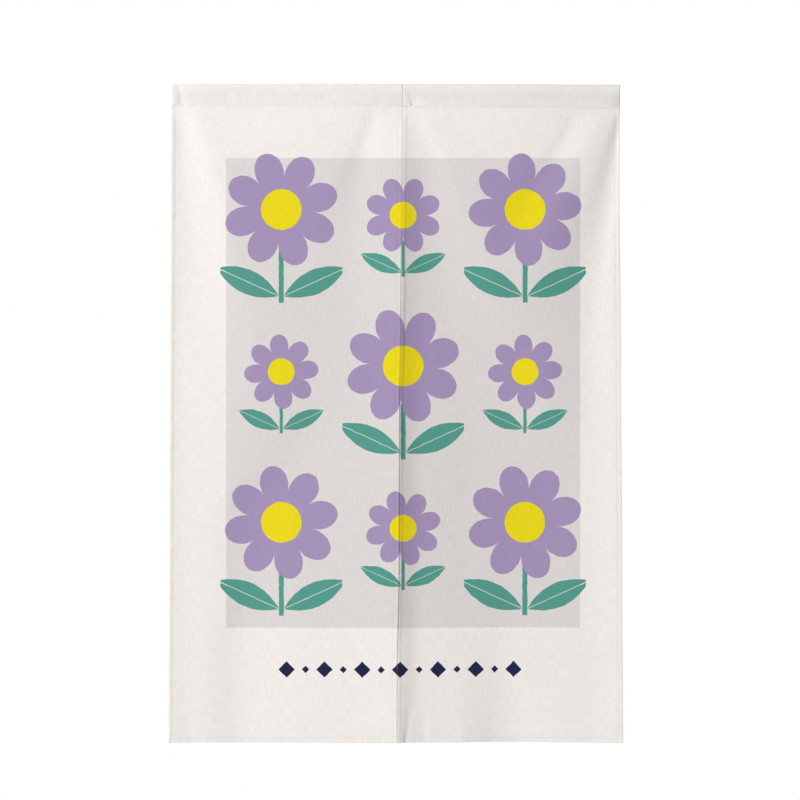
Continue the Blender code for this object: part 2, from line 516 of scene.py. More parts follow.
def graded(count):
    """Places of the grid's lines over one length: millimetres from its start, plus a share of it."""
    near = [(place, 0.0) for place in HEM_LINES]
    zone = HEM_LINES[-1] + AFTER_HEM
    shares = [index / count for index in range(count + 1)]
    middle = [(zone * (1.0 - 2.0 * share), share) for share in shares]
    far = [(-place, 1.0) for place in reversed(HEM_LINES)]
    return np.array(near + middle + far)


PANEL_COLUMNS = graded(STEPS_ACROSS)
PANEL_ROWS = graded(STEPS_DOWN)
UNIT_WALL = 0.1
UNIT_MERGE = 0.001


def link(name, mesh):
    piece = bpy.data.objects.new(name, mesh)
    bpy.context.scene.collection.objects.link(piece)
    return piece


def unit_sheet(columns, rows, tube=False):
    """A closed sheet of unit size, and the column, the row and the layer of each of its points."""
    builder = bmesh.new()
    bmesh.ops.create_grid(builder, x_segments=columns - 1, y_segments=rows - 1, size=0.5)
    column_of = builder.verts.layers.float.new("column")
    row_of = builder.verts.layers.float.new("row")
    layer_of = builder.verts.layers.float.new("layer")
    for vert in builder.verts:
        vert[column_of] = round((vert.co.x + 0.5) * (columns - 1))
        vert[row_of] = round((vert.co.y + 0.5) * (rows - 1))
        if tube:
            turn = 2.0 * math.pi * (vert.co.y + 0.5)
            vert.co = (vert.co.x, -math.sin(turn), math.cos(turn))
    if tube:
        bmesh.ops.remove_doubles(builder, verts=builder.verts[:], dist=UNIT_MERGE)
    made = bmesh.ops.extrude_face_region(builder, geom=builder.faces[:], use_keep_orig=True)["geom"]
    for item in made:
        if isinstance(item, bmesh.types.BMVert):
            item[layer_of] = 1.0
            if tube:
                item.co.y *= 1.0 - UNIT_WALL
                item.co.z *= 1.0 - UNIT_WALL
            else:
                item.co.z -= UNIT_WALL
    bmesh.ops.recalc_face_normals(builder, faces=builder.faces)
    mesh = bpy.data.meshes.new("sheet")
    builder.to_mesh(mesh)
    builder.free()
    facts = []
    for name in ("column", "row", "layer"):
        values = np.empty(len(mesh.vertices), np.float32)
        mesh.attributes[name].data.foreach_get("value", values)
        facts.append(values.astype(float))
        mesh.attributes.remove(mesh.attributes[name])
    return mesh, facts[0].astype(int), facts[1].astype(int), facts[2]


def shape_sheet(mesh, points, flat, layer, wrap=None):
    """Moves a unit sheet's points to their places and gives it the cloth map and the mask of its back."""
    mesh.vertices.foreach_set("co", (points * MM).astype(np.float32).ravel())
    corners = np.empty(len(mesh.loops), np.int32)
    mesh.loops.foreach_get("vertex_index", corners)
    places = flat[corners]
    if wrap:
        quads = places[:, 1].reshape(-1, 4)
        quads = np.where(quads.max(1, keepdims=True) - quads > wrap / 2.0, quads + wrap, quads)
        places[:, 1] = quads.ravel()
    cloth_map = mesh.uv_layers.new(name="cloth")
    cloth_map.data.foreach_set("uv", (places * MM).astype(np.float32).ravel())
    add_mask(mesh, "back", layer)
    mesh.shade_smooth()
    mesh.update()


def add_mask(mesh, name, values):
    """A number for each point, for the material to read."""
    mask = mesh.attributes.new(name, "FLOAT", "POINT")
    mask.data.foreach_set("value", values.astype(np.float32))


def panel_thickness(inset):
    """Thin cloth, doubled in the hems, rounded off at the edge."""
    hem = 1.0 - soft((inset - SIDE_HEM) / HEM_STEP)
    full = CLOTH + (HEM_CLOTH - CLOTH) * hem
    near_edge = 1.0 - np.clip(inset / EDGE_ROUND, 0.0, 1.0)
    return full, full * np.sqrt(1.0 - EDGE_THINNING * near_edge**2)


def make_panel(side):
    """One length of hemmed cloth."""
    mesh, column, row, layer = unit_sheet(len(PANEL_COLUMNS), len(PANEL_ROWS))
    row = len(PANEL_ROWS) - 1 - row
    across = np.zeros(len(column))
    down = np.zeros(len(column))
    for _ in range(3):
        top = pocket_drop(across) + TOP_GAP
        down = top + PANEL_ROWS[row, 0] + PANEL_ROWS[row, 1] * (DROP - top)
        left, right = panel_edges(side, down)
        across = left + PANEL_COLUMNS[column, 0] + PANEL_COLUMNS[column, 1] * (right - left)
    full, thickness = panel_thickness(edge_inset(side, across, down))
    front = face_height(side, across, down) - (full - thickness) / 2.0
    depth = -front + thickness * layer
    points = np.stack([across, depth, -down], 1)
    shape_sheet(mesh, points, np.stack([across, -down], 1), layer)
    add_mask(mesh, "stitch_line", stitch_line(side, across, down))
    return link(f"panel_{side}_cloth", mesh)


# The rod pockets
POCKET_COLUMN_COUNT = 220
POCKET_RING = 72
POCKET_GIRTH = 2.0 * POCKET_DROP_LEFT + POCKET_DEPTH / 2.0
POCKET_FRONT_LEFT = 2.6
POCKET_FRONT_RIGHT = 5.4
POCKET_BACK = 5.0
POCKET_FULLER_FROM = -150.0
POCKET_FULLER_OVER = 500.0
POCKET_PROFILE = (
    # share of the way down, share of the fullness
    (0.0, 0.0),
    (0.012, 0.34),
    (0.05, 0.66),
    (0.13, 0.90),
    (0.27, 1.0),
    (0.4, 0.93),
    (0.5, 0.76),
    (0.62, 0.53),
    (0.74, 0.35),
    (0.86, 0.22),
    (0.94, 0.15),
    (0.985, 0.1),
    (1.0, 0.0),
)
POCKET_RIPPLES = (
    # size of a ripple across, size down, height, seed
    (40, 16, 0.45, 23),
    (13, 40, 0.22, 29),
)
RIPPLE_SPAN = 40.0
CREASE_FADE_TOP = 0.1
CREASE_FADE_FOOT = 0.06
POCKET_FOLDS = {
    "left end crease": (
        (0, -396, 3, 6, -0.4),
        (20, -393, 5, 9, -1.2),
        (46, -390, 6, 8, -2.0),
    ),
    "crease left of the slit": (
        (12, -29, 5, 8, 0.0),
        (26, -29, 5, 8, -0.3),
        (46, -31, 5, 9, -0.5),
    ),
    "crease right of the slit": (
        (4, 22, 4, 10, 0.0),
        (18, 25, 5, 14, -0.8),
        (40, 30, 6, 16, -1.5),
        (46, 31, 6, 16, -1.5),
    ),
    "right end fold": (
        (10, 412, 9, 9, 0.0),
        (28, 411, 12, 9, -1.9),
        (46, 410, 13, 9, -3.3),
    ),
}


def pocket_creases(across, part):
    """The creases near the rod pocket's ends, which dent its face and its back alike."""
    creases = fold_sum(POCKET_FOLDS, across, part * POCKET_DROP_RIGHT)
    foot = 1.0 - soft((part - 1.0 + CREASE_FADE_FOOT) / CREASE_FADE_FOOT)
    return creases * soft(part / CREASE_FADE_TOP) * foot


def pocket_face(across, part):
    """How far the rod pocket's face stands towards the viewer, at a share of the way down."""
    fuller = soft((across - POCKET_FULLER_FROM) / POCKET_FULLER_OVER)
    front = POCKET_FRONT_LEFT + (POCKET_FRONT_RIGHT - POCKET_FRONT_LEFT) * fuller
    ripples = np.zeros_like(across)
    for size_across, size_down, height, seed in POCKET_RIPPLES:
        ripples += height * waves(across + WAVE_SHIFT, part * RIPPLE_SPAN, size_across, size_down, seed)
    ripples *= 2.0 * np.sqrt(part * (1.0 - part))
    fullness = front * along(POCKET_PROFILE, part, VALUE)
    return fullness + ripples + pocket_creases(across, part) - pocket_sway(across)


def make_heading(side):
    """One rod pocket: a flat sleeve, fullest in its upper third, open at both ends."""
    mesh, column, row, layer = unit_sheet(POCKET_COLUMN_COUNT, POCKET_RING + 1, tube=True)
    meeting = MEETING_LINE[0][ACROSS]
    ends = {"left": (-HALF_WIDTH_TOP, meeting), "right": (meeting + POCKET_GAP, HALF_WIDTH_TOP)}
    left, right = ends[side]
    across = left + (right - left) * column / (POCKET_COLUMN_COUNT - 1)
    turn = 2.0 * math.pi * row / POCKET_RING
    drop = pocket_drop(across)
    sag = POCKET_SAG * soft(across / HALF_WIDTH_TOP)
    inner = POCKET_CLOTH * layer
    part = (1.0 - np.cos(turn)) / 2.0
    fullness = along(POCKET_PROFILE, part, VALUE)
    face = -(pocket_face(across, part) - inner * fullness)
    back = (POCKET_BACK - inner) * fullness + pocket_sway(across) - pocket_creases(across, part)
    depth = np.where(turn < math.pi, face, back)
    height = -(sag + inner + (drop - sag - 2.0 * inner) * part)
    points = np.stack([across, depth, height], 1)
    flat = np.stack([across, -POCKET_GIRTH * row / POCKET_RING], 1)
    shape_sheet(mesh, points, flat, layer, wrap=POCKET_GIRTH)
    return link(f"heading_{side}_cloth", mesh)


# Sewing thread
STITCH_LENGTH = 2.5
STITCH_PITCH = 3.4
THREAD_RADIUS = 0.24
THREAD_END = 0.55
THREAD_MERGE = 0.00001
STITCH_STATIONS = (
    # share of the stitch, how far the thread stands off the cloth
    (0.0, -0.10),
    (0.25, 0.16),
    (0.75, 0.16),
    (1.0, -0.10),
)
HEM_STITCH_START = 50.0
POCKET_STITCH_DOWN = 40.0
POCKET_STITCH_BELOW = 1.6
POCKET_STITCH_LEFT = 2.0
POCKET_STITCH_RIGHT = 1.0


def thread_object(name, runs, radius):
    """Short runs of thread, each a list of points in mm, as one mesh."""
    curve = bpy.data.curves.new(name, "CURVE")
    curve.dimensions = "3D"
    curve.bevel_depth = radius * MM
    curve.bevel_resolution = 1
    curve.use_fill_caps = True
    for run in runs:
        spline = curve.splines.new("POLY")
        spline.points.add(len(run) - 1)
        for point, place in zip(spline.points, run):
            point.co = (place[0] * MM, place[1] * MM, place[2] * MM, 1.0)
        spline.points[0].radius = THREAD_END
        spline.points[len(run) - 1].radius = THREAD_END
    holder = link(name, curve)
    bpy.context.view_layer.update()
    mesh = bpy.data.meshes.new_from_object(holder.evaluated_get(bpy.context.evaluated_depsgraph_get()))
    bpy.data.objects.remove(holder)
    bpy.data.curves.remove(curve)
    builder = bmesh.new()
    builder.from_mesh(mesh)
    bmesh.ops.remove_doubles(builder, verts=builder.verts[:], dist=THREAD_MERGE)
    bmesh.ops.recalc_face_normals(builder, faces=builder.faces)
    builder.to_mesh(mesh)
    builder.free()
    mesh.shade_smooth()
    return link(name, mesh)


def stitch_run(side, starts, direction, back):
    """Stitches from the given places along one direction, on the cloth's face or its back."""
    starts = np.asarray(starts, float)
    columns = []
    for share, rise in STITCH_STATIONS:
        place = starts + np.asarray(direction) * STITCH_LENGTH * share
        across, down = place[:, 0], place[:, 1]
        full, _ = panel_thickness(edge_inset(side, across, down))
        front = face_height(side, across, down)
        depth = -(front - full - rise) if back else -(front + rise)
        columns.append(np.stack([across, depth, -down], 1))
    return [[column[index] for column in columns] for index in range(len(starts))]


def hem_stitches(side, back):
    """The lines of stitching down both side hems and along the bottom hem."""
    runs = []
    downs = np.arange(HEM_STITCH_START, DROP - STITCH_INSET - STITCH_LENGTH, STITCH_PITCH)
    left, right = panel_edges(side, downs)
    for across in (left + STITCH_INSET, right - STITCH_INSET):
        runs += stitch_run(side, np.stack([across, downs], 1), (0.0, 1.0), back)
    left, right = (float(edge) for edge in panel_edges(side, np.array(float(DROP))))
    acrosses = np.arange(left + STITCH_INSET, right - STITCH_INSET - STITCH_LENGTH, STITCH_PITCH)
    bottom = np.full(len(acrosses), DROP - STITCH_INSET)
    runs += stitch_run(side, np.stack([acrosses, bottom], 1), (1.0, 0.0), back)
    return runs


def pocket_stitches(side, back):
    """The line of stitching that closes the rod pocket."""
    left, right = (float(edge) for edge in panel_edges(side, np.array(POCKET_STITCH_DOWN)))
    last = right - STITCH_LENGTH - POCKET_STITCH_RIGHT
    acrosses = np.arange(left + POCKET_STITCH_LEFT, last, STITCH_PITCH)
    downs = pocket_drop(acrosses) + POCKET_STITCH_BELOW
    return stitch_run(side, np.stack([acrosses, downs], 1), (1.0, 0.0), back)


TACKS = (
    # side, across, down, width, height
    ("left", -393.0, 37.6, 2.0, 4.6),
    ("left", -401.0, 38.2, 2.4, 1.6),
    ("left", -405.2, 42.4, 1.8, 2.6),
    ("left", 8.2, 40.6, 7.0, 0.7),
    ("right", 17.2, 40.4, 6.0, 0.7),
    ("right", 21.6, 41.4, 1.4, 5.2),
    ("right", 27.4, 37.0, 2.2, 7.6),
    ("right", 404.0, 44.6, 3.0, 2.0),
)
TACK_PITCH = 0.5
TACK_LEAN = 0.3
TACK_STATIONS = (
    # share of the height, how far the thread stands off the cloth
    (-0.5, 0.0),
    (-0.22, 0.25),
    (0.22, 0.25),
    (0.5, 0.0),
)


def bar_tack(side, middle, down, width, height):
    """A dense bar of upright threads by the pocket's seam."""
    runs = []
    count = int(width / TACK_PITCH)
    for index in range(count):
        start = middle + (index / (count - 1) - 0.5) * width
        lean = TACK_LEAN if index % 2 else -TACK_LEAN
        run = []
        for share, stand in TACK_STATIONS:
            across, place = np.array([start + lean * share]), np.array([down + height * share])
            seam = pocket_drop(across)
            on_pocket = pocket_face(across, np.minimum(place / seam, 1.0))
            face = np.where(place < seam, on_pocket, face_height(side, across, place))[0]
            run.append((float(across[0]), -float(face) - stand, -float(place[0])))
        runs.append(run)
    return runs


# Shader helpers
class Tree:
    """Puts shader nodes into a tree, with numbers or sockets for their inputs."""

    def __init__(self, tree):
        self.tree = tree

    def node(self, kind, inputs=None, **settings):
        made = self.tree.nodes.new(kind)
        for key, value in settings.items():
            setattr(made, key, value)
        for key, value in (inputs or {}).items():
            self.feed(made.inputs[key], value)
        return made

    def feed(self, socket, value):
        if isinstance(value, bpy.types.NodeSocket):
            self.tree.links.new(value, socket)
        else:
            socket.default_value = value

    def math(self, operation, *values, clamp=False):
        inputs = dict(enumerate(values))
        return self.node("ShaderNodeMath", inputs, operation=operation, use_clamp=clamp).outputs[0]

    def vector(self, operation, *values):
        inputs = dict(enumerate(values))
        made = self.node("ShaderNodeVectorMath", inputs, operation=operation)
        return made.outputs["Value" if operation == "LENGTH" else "Vector"]

    def mix(self, factor, first, second, blend="MIX"):
        made = self.node("ShaderNodeMix", data_type="RGBA", blend_type=blend)
        for key, value in ((0, factor), (6, first), (7, second)):
            self.feed(made.inputs[key], value)
        return made.outputs[2]

    def step(self, value, edge, blur):
        """One below the edge and nought above it, with a soft edge."""
        return self.math("MULTIPLY_ADD", self.math("SUBTRACT", edge, value), 1.0 / blur, 0.5, clamp=True)

    def split(self, vector):
        return self.node("ShaderNodeSeparateXYZ", {0: vector}).outputs

    def join(self, x, y, z=0.0):
        return self.node("ShaderNodeCombineXYZ", {0: x, 1: y, 2: z}).outputs[0]

    def noise(self, vector, scale, detail=2.0, colour=False):
        made = self.node("ShaderNodeTexNoise", {"Vector": vector, "Scale": scale, "Detail": detail})
        return made.outputs["Color" if colour else "Fac"]

    def bump(self, height, strength, depth):
        made = self.node("ShaderNodeBump", {"Height": height, "Strength": strength, "Distance": depth})
        return made.outputs[0]

    def use(self, group, inputs):
        made = self.node("ShaderNodeGroup", node_tree=group)
        for key, value in inputs.items():
            self.feed(made.inputs[key], value)
        return made.outputs


def new_group(name, inputs, outputs):
    """A shader group with its sockets: the group, its tree to fill, its inputs and its outputs."""
    group = bpy.data.node_groups.new(name, "ShaderNodeTree")
    for direction, sockets in (("INPUT", inputs), ("OUTPUT", outputs)):
        for socket_name, kind in sockets.items():
            group.interface.new_socket(socket_name, in_out=direction, socket_type="NodeSocket" + kind)
    tree = Tree(group)
    given = tree.node("NodeGroupInput").outputs
    end = tree.node("NodeGroupOutput")
    return group, tree, given, end.inputs


def colour(red, green, blue):
    """A screen colour, 0 to 255, as the linear colour that shaders take."""
    linear = []
    for value in (red, green, blue):
        share = value / 255.0
        linear.append(share / 12.92 if share <= 0.04045 else ((share + 0.055) / 1.055) ** 2.4)
    return (*linear, 1.0)


CREAM = colour(244, 241, 237)
# The rod pockets' cream, a little darker than the panels' cream: painted shade on the pockets
HEADING_SHADED_CREAM = colour(241, 238, 235)
WARM_CREAM = colour(246, 232, 229)
# The bar tacks' thread, darker and warmer than the cloth's cream: painted shade of the dense bars
TACK_SHADED_CREAM = colour(240, 227, 219)
FIBRE_GREY = colour(216, 210, 203)
FLOOR_GREY = colour(238, 238, 238)
FLOOR_WHITE = colour(246, 246, 246)
FIELD_GREY = colour(224, 220, 219)
LILAC = colour(167, 148, 188)
LEAF_GREEN = colour(84, 157, 143)
YELLOW = colour(238, 220, 20)
NAVY = colour(26, 34, 72)

# The middle of a noise's range, which is taken off to leave a shift to either side
HALF = (0.5, 0.5, 0.5)

# The print, in metres right of the middle and down from the top
FIELD = (-0.309, 0.336, 0.135, 0.991)
COLUMN_PITCH = 0.222
ROW_PITCH = 0.285
FIRST_COLUMN = -0.2085
FIRST_ROW = 0.260
MOTIF_RISE = 0.031
COLUMN_COUNT = 3
ROW_COUNT = 3
SMALL_SHARE = 0.66
ROSETTE = 0.106
ROSETTE_EYE = 0.037
ROSETTE_LEAST = 0.96
ROSETTE_SPREAD = 0.06
PETALS = 8
PETAL_TURN = 0.5
PETAL_ROUNDNESS = 0.55
PETAL_CUT = 0.45
LEAF_FOOT = (0.004, 0.158)
LEAF_TIP = (0.118, 0.106)
LEAF_WIDTH = 0.044
VEIN_HALF = 0.0006
STEM_WIDTH = 0.009
STEM_MIDDLE = 0.120
STEM_HALF = 0.050
LOZENGE_ROW = 1.067
LOZENGE_PITCH = 0.0345
LOZENGE_COUNT = 13
LOZENGE_START = -0.199
LOZENGE_HALF = 0.0150
LOZENGE_CUT = 0.55
PRINT_BLUR = 0.0008
INK_WANDER = 0.0022
INK_WANDER_SCALE = 90.0


def repeat_group():
    """A chequer of large and small motifs: the place in the motif, and the numbers of its cell."""
    group, tree, given, result = new_group(
        "chequer repeat", {"Place": "Vector"}, {"Local": "Vector", "Cell": "Vector", "Inside": "Float"})
    place = tree.split(given["Place"])
    column_share = tree.math("DIVIDE", tree.math("SUBTRACT", place[0], FIRST_COLUMN), COLUMN_PITCH)
    column = tree.math("ROUND", column_share)
    row_share = tree.math("DIVIDE", tree.math("SUBTRACT", place[1], FIRST_ROW), ROW_PITCH)
    row = tree.math("ROUND", row_share)
    odd = tree.math("ABSOLUTE", tree.math("MODULO", tree.math("ADD", column, row), 2.0))
    scale = tree.math("DIVIDE", 1.0, tree.math("MULTIPLY_ADD", odd, SMALL_SHARE - 1.0, 1.0))
    local_x = tree.math("MULTIPLY", tree.math("SUBTRACT", column_share, column), COLUMN_PITCH)
    local_x = tree.math("MULTIPLY", local_x, scale)
    local_y = tree.math("MULTIPLY", tree.math("SUBTRACT", row_share, row), ROW_PITCH)
    local_y = tree.math("MULTIPLY_ADD", local_y, scale, MOTIF_RISE)
    inside = 1.0
    for number, count in ((column, COLUMN_COUNT), (row, ROW_COUNT)):
        middle = (count - 1) / 2.0
        offset = tree.math("ABSOLUTE", tree.math("SUBTRACT", number, middle))
        inside = tree.math("MULTIPLY", inside, tree.math("LESS_THAN", offset, count / 2.0))
    tree.feed(result["Local"], tree.join(local_x, local_y))
    tree.feed(result["Cell"], tree.join(column, row, odd))
    tree.feed(result["Inside"], inside)
    return group


def rosette_group():
    """A round-petalled rosette with an eye. It puts out the masks of its petals and its eye."""
    group, tree, given, result = new_group(
        "rosette", {"Local": "Vector", "Cell": "Vector"}, {"Petals": "Float", "Eye": "Float"})
    local = tree.split(given["Local"])
    dice = tree.node("ShaderNodeTexWhiteNoise", {"Vector": given["Cell"]}, noise_dimensions="3D")
    chance = dice.outputs["Value"]
    distance = tree.vector("LENGTH", given["Local"])
    turn = tree.math("MULTIPLY_ADD", chance, PETAL_TURN, tree.math("ARCTAN2", local[1], local[0]))
    lobe = tree.math("ABSOLUTE", tree.math("COSINE", tree.math("MULTIPLY", turn, PETALS / 2.0)))
    lobe = tree.math("POWER", lobe, PETAL_ROUNDNESS)
    reach = tree.math("MULTIPLY_ADD", lobe, PETAL_CUT, 1.0 - PETAL_CUT)
    size = tree.math("MULTIPLY_ADD", chance, ROSETTE_SPREAD, ROSETTE_LEAST)
    edge = tree.math("MULTIPLY", tree.math("MULTIPLY", reach, size), ROSETTE)
    tree.feed(result["Petals"], tree.step(distance, edge, PRINT_BLUR))
    tree.feed(result["Eye"], tree.step(distance, ROSETTE_EYE, PRINT_BLUR))
    return group


def leaf_group():
    """A pair of pointed leaves on a stem below the rosette. It puts out their mask."""
    group, tree, given, result = new_group("leaf pair", {"Local": "Vector"}, {"Leaves": "Float"})
    local = tree.split(given["Local"])
    side = tree.math("ABSOLUTE", local[0])
    length = math.dist(LEAF_FOOT, LEAF_TIP)
    along_x, along_y = ((tip - foot) / length for tip, foot in zip(LEAF_TIP, LEAF_FOOT))
    from_x = tree.math("SUBTRACT", side, LEAF_FOOT[0])
    from_y = tree.math("SUBTRACT", local[1], LEAF_FOOT[1])
    distance = tree.math("MULTIPLY_ADD", from_x, along_x, tree.math("MULTIPLY", from_y, along_y))
    offset = tree.math("MULTIPLY_ADD", from_x, along_y, tree.math("MULTIPLY", from_y, -along_x))
    offset = tree.math("ABSOLUTE", offset)
    share = tree.math("DIVIDE", distance, length, clamp=True)
    width = tree.math("MULTIPLY", share, tree.math("SUBTRACT", 1.0, share))
    width = tree.math("MULTIPLY", width, 2.0 * LEAF_WIDTH)
    leaf = tree.step(offset, width, PRINT_BLUR)
    vein = tree.step(VEIN_HALF, offset, PRINT_BLUR)
    from_middle = tree.math("ABSOLUTE", tree.math("SUBTRACT", local[1], STEM_MIDDLE))
    stem = tree.math("MULTIPLY", tree.step(side, STEM_WIDTH / 2.0, PRINT_BLUR),
                     tree.step(from_middle, STEM_HALF, PRINT_BLUR))
    tree.feed(result["Leaves"], tree.math("MAXIMUM", tree.math("MULTIPLY", leaf, vein), stem))
    return group


def lozenge_group():
    """A row of lozenges, every other one small. It puts out their mask."""
    group, tree, given, result = new_group("lozenge row", {"Place": "Vector"}, {"Lozenges": "Float"})
    place = tree.split(given["Place"])
    share = tree.math("DIVIDE", tree.math("SUBTRACT", place[0], LOZENGE_START), LOZENGE_PITCH)
    number = tree.math("ROUND", share)
    from_x = tree.math("MULTIPLY", tree.math("SUBTRACT", share, number), LOZENGE_PITCH)
    from_y = tree.math("SUBTRACT", place[1], LOZENGE_ROW)
    spread = tree.math("ADD", tree.math("ABSOLUTE", from_x), tree.math("ABSOLUTE", from_y))
    small = tree.math("ABSOLUTE", tree.math("MODULO", number, 2.0))
    half = tree.math("MULTIPLY_ADD", small, -LOZENGE_HALF * LOZENGE_CUT, LOZENGE_HALF)
    middle = (LOZENGE_COUNT - 1) / 2.0
    offset = tree.math("ABSOLUTE", tree.math("SUBTRACT", number, middle))
    inside = tree.math("LESS_THAN", offset, LOZENGE_COUNT / 2.0)
    tree.feed(result["Lozenges"], tree.math("MULTIPLY", inside, tree.step(spread, half, PRINT_BLUR)))
    return group


def field_group():
    """The plain tinted field behind the motifs. It puts out its mask."""
    group, tree, given, result = new_group("tinted field", {"Place": "Vector"}, {"Field": "Float"})
    place = tree.split(given["Place"])
    left, right, top, bottom = FIELD
    mask = 1.0
    for value, low, high in ((place[0], left, right), (place[1], top, bottom)):
        offset = tree.math("ABSOLUTE", tree.math("SUBTRACT", value, (low + high) / 2.0))
        mask = tree.math("MULTIPLY", mask, tree.step(offset, (high - low) / 2.0, PRINT_BLUR))
    tree.feed(result["Field"], mask)
    return group


def print_group():
    """The whole print: its colour, and how much of the cloth it covers."""
    group, tree, given, result = new_group(
        "print", {"Place": "Vector"}, {"Colour": "Color", "Printed": "Float"})
    wander = tree.vector("SUBTRACT", tree.noise(given["Place"], INK_WANDER_SCALE, 1.0, colour=True), HALF)
    wander = tree.vector("MULTIPLY", wander, (INK_WANDER, INK_WANDER, 0.0))
    place = tree.vector("ADD", given["Place"], wander)
    cell = tree.use(repeat_group(), {"Place": place})
    rosette = tree.use(rosette_group(), {"Local": cell["Local"], "Cell": cell["Cell"]})
    leaves = tree.use(leaf_group(), {"Local": cell["Local"]})["Leaves"]
    leaves = tree.math("MULTIPLY", leaves, cell["Inside"])
    petals = tree.math("MULTIPLY", rosette["Petals"], cell["Inside"])
    eye = tree.math("MULTIPLY", rosette["Eye"], cell["Inside"])
    lozenges = tree.use(lozenge_group(), {"Place": place})["Lozenges"]
    field = tree.use(field_group(), {"Place": given["Place"]})["Field"]
    shade = FIELD_GREY
    printed = field
    for mask, ink in ((leaves, LEAF_GREEN), (petals, LILAC), (eye, YELLOW), (lozenges, NAVY)):
        shade = tree.mix(mask, shade, ink)
        printed = tree.math("MAXIMUM", printed, mask)
    tree.feed(result["Colour"], shade)
    tree.feed(result["Printed"], printed)
    return group


# The linen and its thread, in metres
YARN = 0.00085
YARN_BEND = 0.0006
YARN_BEND_SCALE = 60.0
WARP_SLUBS = (620.0, 60.0, 0.0)
WEFT_SLUBS = (55.0, 560.0, 0.0)
WARP_SHARE = 0.58
WEFT_SHARE = 0.22
FUZZ_SHARE = 0.20
FUZZ_SCALE = 420.0
YARN_RELIEF = 0.35
SLUB_RELIEF = 1.2
SLUB_TONE = 0.44
DARKEST_TONE = 0.78
YARN_TONE = 0.02
MOTTLING_SCALE = 48.0
MOTTLING_CONTRAST = 2.4
MOTTLING_START = -0.7
WARM_SHARE = 0.24
BACK_PRINT = 0.28
INK_FILL = 0.25
# Painted shade: how much the cloth's tone is darkened on the hem stitching's line, standing in for the
# groove's shadow
STITCH_PAINTED_SHADE = 0.05
WEAVE_STRENGTH = 0.5
WEAVE_DEPTH = 0.00022
TWIST_SCALE = 700.0
TWIST_STRENGTH = 0.4
TWIST_DEPTH = 0.00008
FIBRE_SCALE = 900.0
FIBRE_SHARE = 0.2
CLOTH_ROUGHNESS = 0.9
CLOTH_SHEEN = 0.08
THREAD_ROUGHNESS = 0.8
THREAD_SHEEN = 0.1
SHEEN_ROUGHNESS = 0.6
SPECULAR = 0.15


def weave_group():
    """Plain weave of uneven yarns: its height, the light and dark of its yarns and its soft mottling."""
    group, tree, given, result = new_group(
        "linen weave", {"Place": "Vector"}, {"Height": "Float", "Tone": "Float", "Warmth": "Float"})
    place = given["Place"]
    bend = tree.vector("SUBTRACT", tree.noise(place, YARN_BEND_SCALE, 2.0, colour=True), HALF)
    bent = tree.vector("ADD", place, tree.vector("MULTIPLY", bend, (YARN_BEND, YARN_BEND, 0.0)))
    parts = tree.split(bent)
    turns = [tree.math("MULTIPLY", part, math.pi / YARN) for part in (parts[0], parts[1])]
    over = tree.math("MULTIPLY", tree.math("SINE", turns[0]), tree.math("SINE", turns[1]))
    slubs = 0.0
    for stretch, share in ((WARP_SLUBS, WARP_SHARE), (WEFT_SLUBS, WEFT_SHARE)):
        streaks = tree.noise(tree.vector("MULTIPLY", place, stretch), 1.0, 3.0)
        slubs = tree.math("MULTIPLY_ADD", streaks, share, slubs)
    slubs = tree.math("MULTIPLY_ADD", tree.noise(place, FUZZ_SCALE, 1.0), FUZZ_SHARE, slubs)
    height = tree.math("MULTIPLY_ADD", over, YARN_RELIEF, tree.math("MULTIPLY", slubs, SLUB_RELIEF))
    tone = tree.math("MULTIPLY_ADD", slubs, SLUB_TONE, DARKEST_TONE)
    tone = tree.math("MULTIPLY_ADD", over, YARN_TONE, tone)
    mottling = tree.noise(place, MOTTLING_SCALE, 3.0)
    mottling = tree.math("MULTIPLY_ADD", mottling, MOTTLING_CONTRAST, MOTTLING_START, clamp=True)
    tree.feed(result["Height"], height)
    tree.feed(result["Tone"], tone)
    tree.feed(result["Warmth"], mottling)
    return group


WEAVE = weave_group()
PRINT = print_group()


def new_material(name, roughness, sheen=0.0):
    """A material with its one shader, and its tree to fill."""
    material = bpy.data.materials.new(name)
    material.use_nodes = True
    tree = Tree(material.node_tree)
    shader = material.node_tree.nodes["Principled BSDF"]
    shader.inputs["Roughness"].default_value = roughness
    shader.inputs["Specular IOR Level"].default_value = SPECULAR
    shader.inputs["Sheen Weight"].default_value = sheen
    shader.inputs["Sheen Roughness"].default_value = SHEEN_ROUGHNESS
    return material, tree, shader.inputs


def cloth_material(name, base, with_print):
    """Cream linen, with the print on its face, a pale ghost of it on its back and painted shade along the
    hem stitching.
    """
    material, tree, shader = new_material(name, CLOTH_ROUGHNESS, CLOTH_SHEEN)
    place = tree.node("ShaderNodeUVMap", uv_map="cloth").outputs[0]
    place = tree.vector("MULTIPLY", place, (1.0, -1.0, 1.0))
    weave = tree.use(WEAVE, {"Place": place})
    shade = tree.mix(tree.math("MULTIPLY", weave["Warmth"], WARM_SHARE), base, WARM_CREAM)
    height = weave["Height"]
    tone = weave["Tone"]
    if with_print:
        printed = tree.use(PRINT, {"Place": place})
        back = tree.node("ShaderNodeAttribute", attribute_name="back").outputs["Fac"]
        through = tree.math("MULTIPLY_ADD", back, BACK_PRINT - 1.0, 1.0)
        cover = tree.math("MULTIPLY", printed["Printed"], through)
        shade = tree.mix(cover, shade, printed["Colour"])
        height = tree.math("MULTIPLY", height, tree.math("MULTIPLY_ADD", cover, -INK_FILL, 1.0))
        # Painted shade along the hem stitching: the cloth's tone is darkened on the stitch line
        stitched = tree.node("ShaderNodeAttribute", attribute_name="stitch_line").outputs["Fac"]
        tone = tree.math("MULTIPLY", tone, tree.math("MULTIPLY_ADD", stitched, -STITCH_PAINTED_SHADE, 1.0))
    shade = tree.mix(1.0, shade, tree.join(tone, tone, tone), blend="MULTIPLY")
    tree.feed(shader["Base Color"], shade)
    tree.feed(shader["Normal"], tree.bump(height, WEAVE_STRENGTH, WEAVE_DEPTH))
    return material


